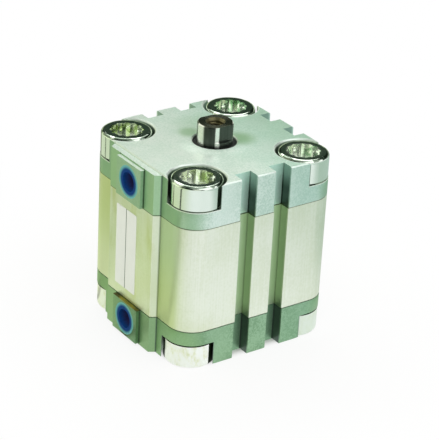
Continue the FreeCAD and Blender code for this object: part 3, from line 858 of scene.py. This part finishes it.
VIEW_AZIMUTH = 54.115
VIEW_HEIGHT = 26.461
VIEW_ROLL = 3.092
VIEW_DISTANCE = 635.71 * MM
VIEW_LENS = 154.14
VIEW_TARGET = Vector((0, 0, 33)) * MM
PICTURE_SHIFT = (3.165 * MM, 2.617 * MM)
NEAREST_SEEN = 10 * MM

# Soft boxes: name, azimuth, height, distance, size, power, colour, and whether mirrors show it
LAMPS = (
    ("key_box", 118, 46, 0.8, (0.95, 0.85), 3.4, (0.97, 0.98, 1.0), True),
    ("top_box", 60, 56, 0.8, (0.6, 0.5), 2.0, (0.97, 1.0, 0.94), False),
    ("side_box", -50, 34, 0.8, (0.95, 0.85), 1.9, (0.98, 1.0, 0.84), True),
    ("back_box", 246, 53, 0.4, (0.34, 0.18), 0.55, (1.0, 1.0, 1.0), True),
)

# Colours of light, on the stage and as the polished faces mirror it
WHITE = (1.0, 1.0, 1.0, 1.0)
BLACK = (0.0, 0.0, 0.0, 1.0)
AMBIENT = (0.34, 0.34, 0.34, 1.0)
BRIGHT_LIGHT = (0.97, 1.0, 1.06, 1.0)
NEAR_DIM_LIGHT = (0.8, 0.9, 0.59, 1.0)
DIM_LIGHT = (0.69, 0.82, 0.47, 1.0)
FAR_DIM_LIGHT = (0.74, 0.81, 0.64, 1.0)
FAR_FLOOR_LIGHT = (0.5, 0.62, 0.58, 1.0)
CEILING = (0.03, 0.05, 0.035, 1.0)
OVERHEAD = (0.34, 0.39, 0.35, 1.0)
CARD_LIGHT = (0.75, 0.78, 0.72, 1.0)

# The room that the polished faces mirror: directions in degrees, and zones of a direction's parts
BRIGHT_SIDE = 112
WALL_FADE = 0.7
CEILING_EDGE = (0.12, 0.28)
OVERHEAD_EDGE = (0.8, 0.97)
FRONT_CARD = (58, 30)
CARD_REACH = (14, 20)

# The floor in metres. SHADOW_FADE also says how much of the paper glows near the object and far off
FLOOR_LEVEL = -0.05 * MM
FLOOR_SIZE = 4.0
FLOOR_FADE = 0.07
FAR_FLOOR = (0.02, 0.12)
DIM_RAMP_REACH = 0.2
DIM_RAMP = ((0.3, NEAR_DIM_LIGHT), (0.45, DIM_LIGHT), (0.5, DIM_LIGHT), (0.75, FAR_DIM_LIGHT))
SHADOW_FADE = (0.04, 0.14, 0.86, 1.0)
CLEAR_OF_FOOT = (CORNER_RADIUS - 4.5 * MM, CORNER_RADIUS)

# Dark flags that the polished faces mirror in the floor: azimuth, half width in degrees and strength
FLAGS = ((-3, 4, 0.85), (-46, 3, 0.75), (-92, 16, 0.65))


def set_camera():
    """The camera where the photograph was taken from, with the picture's middle beside the target."""
    back = toward(VIEW_AZIMUTH, VIEW_HEIGHT)
    level = Vector(UP).cross(back).normalized()
    upright = back.cross(level)
    roll = math.radians(VIEW_ROLL)
    right = level * math.cos(roll) + upright * math.sin(roll)
    up = upright * math.cos(roll) - level * math.sin(roll)
    camera = bpy.data.objects.new("camera", bpy.data.cameras.new("camera"))
    bpy.context.scene.collection.objects.link(camera)
    camera.data.lens = VIEW_LENS
    camera.data.clip_start = NEAREST_SEEN
    aim = VIEW_TARGET + right * PICTURE_SHIFT[0] + up * PICTURE_SHIFT[1]
    turned = Matrix((right, up, back)).transposed().to_4x4()
    camera.matrix_world = Matrix.Translation(aim + back * VIEW_DISTANCE) @ turned
    bpy.context.scene.camera = camera


def seen_directly(finish):
    """Two levels: 1 where the camera looks at the surface, and 1 where a mirror or glass looks at it."""
    kinds = ("Is Camera Ray", "Is Glossy Ray", "Is Transmission Ray")
    camera, glossy, through = (finish.node("ShaderNodeLightPath", output=kind) for kind in kinds)
    return camera, glossy + through


def lit_side(finish, place, reach):
    """From 0 on the dim side of the studio to 1 on the bright one."""
    return finish.rescale(finish.dot(place, toward(BRIGHT_SIDE, 0)), -reach, reach)


def floor_light(finish, place, distance):
    """What the polished faces mirror of the floor: its dim, bright and far sides, and dark flags."""
    dim_light = finish.node(
        "ShaderNodeValToRGB", {"stops": DIM_RAMP}, {0: distance * (1.0 / DIM_RAMP_REACH)}
    )
    light = finish.blend(lit_side(finish, place, FLOOR_FADE), dim_light, BRIGHT_LIGHT)
    far = finish.rescale(finish.axis(place, "Y"), *FAR_FLOOR)
    flags = [
        (finish.sector(place, azimuth, half_width / 2, half_width), strength, BLACK)
        for azimuth, half_width, strength in FLAGS
    ]
    return finish.coats(light, (far, 1.0, FAR_FLOOR_LIGHT), *flags)


def floor_paper():
    """Pale paper that keeps a soft shadow near the object and is white where none falls."""
    finish = new_finish("floor_paper", Roughness=1.0, Specular_IOR_Level=0.0, Emission_Strength=1.0)
    place = finish.place()
    x, y, _ = finish.measures(place)
    distance = finish.length(place)
    paper = finish.blend(finish.noise(place, scale=900.0), tint(238, 238, 236), tint(243, 243, 241))
    camera, mirrored = seen_directly(finish)
    glow = finish.blend(camera, floor_light(finish, place, distance), WHITE)
    beyond = [(abs(side) - SCREW_AXIS).larger(0.0) for side in (x, y)]
    clear = finish.rescale(finish.apart(*beyond), *CLEAR_OF_FOOT)
    lit = camera * (finish.rescale(distance, *SHADOW_FADE) * clear) + mirrored
    finish.dress(
        Base_Color=finish.blend(lit, paper, BLACK),
        Emission_Color=finish.blend(lit, BLACK, glow),
    )
    return finish.owner


def lay_floor():
    """A square floor just below the object."""
    mesh = bpy.data.meshes.new("floor")
    half = FLOOR_SIZE / 2
    corners = [(x * half, y * half, FLOOR_LEVEL) for x, y in ((-1, -1), (1, -1), (1, 1), (-1, 1))]
    mesh.from_pydata(corners, [], [(0, 1, 2, 3)])
    floor = bpy.data.objects.new("floor", mesh)
    bpy.context.scene.collection.objects.link(floor)
    mesh.materials.append(floor_paper())


def light_world():
    """White behind the object, a dim ceiling for the mirrors and an even soft light for the rest."""
    world = bpy.data.worlds.new("studio")
    bpy.context.scene.world = world
    finish = Finish(world, "Background")
    direction = finish.node("ShaderNodeTexCoord", output="Generated")
    height = finish.axis(direction, "Z")
    camera, mirrored = seen_directly(finish)
    room = finish.coats(
        finish.blend(lit_side(finish, direction, WALL_FADE), DIM_LIGHT, BRIGHT_LIGHT),
        (finish.rescale(height, *CEILING_EDGE), 1.0, CEILING),
        (finish.near(direction, toward(*FRONT_CARD), *CARD_REACH), 1.0, CARD_LIGHT),
        (finish.rescale(height, *OVERHEAD_EDGE), 1.0, OVERHEAD),
    )
    light = finish.blend(camera, AMBIENT, WHITE)
    finish.dress(Color=finish.blend(mirrored, light, room))


def hang_lamp(name, azimuth, height, distance, size, power, colour, mirrored):
    """A soft box that points at the middle of the object."""
    lamp = bpy.data.lights.new(name, "AREA")
    lamp.shape = "RECTANGLE"
    lamp.size, lamp.size_y = size
    lamp.energy = power
    lamp.color = colour
    holder = bpy.data.objects.new(name, lamp)
    bpy.context.scene.collection.objects.link(holder)
    direction = toward(azimuth, height)
    holder.location = VIEW_TARGET + direction * distance
    holder.rotation_euler = direction.to_track_quat("Z", "Y").to_euler()
    holder.visible_glossy = mirrored


bpy.context.scene.view_settings.view_transform = "Standard"
screw_finish = plated_steel()
rod_finish = hard_chrome()
paint_nodes(screw_finish, rod_finish)
cut_threads(screw_finish, rod_finish)
stick_label()
for softened, edge_width in SOFT_EDGES.items():
    soften_edges(softened, edge_width)
set_camera()
lay_floor()
light_world()
for lamp_values in LAMPS:
    hang_lamp(*lamp_values)
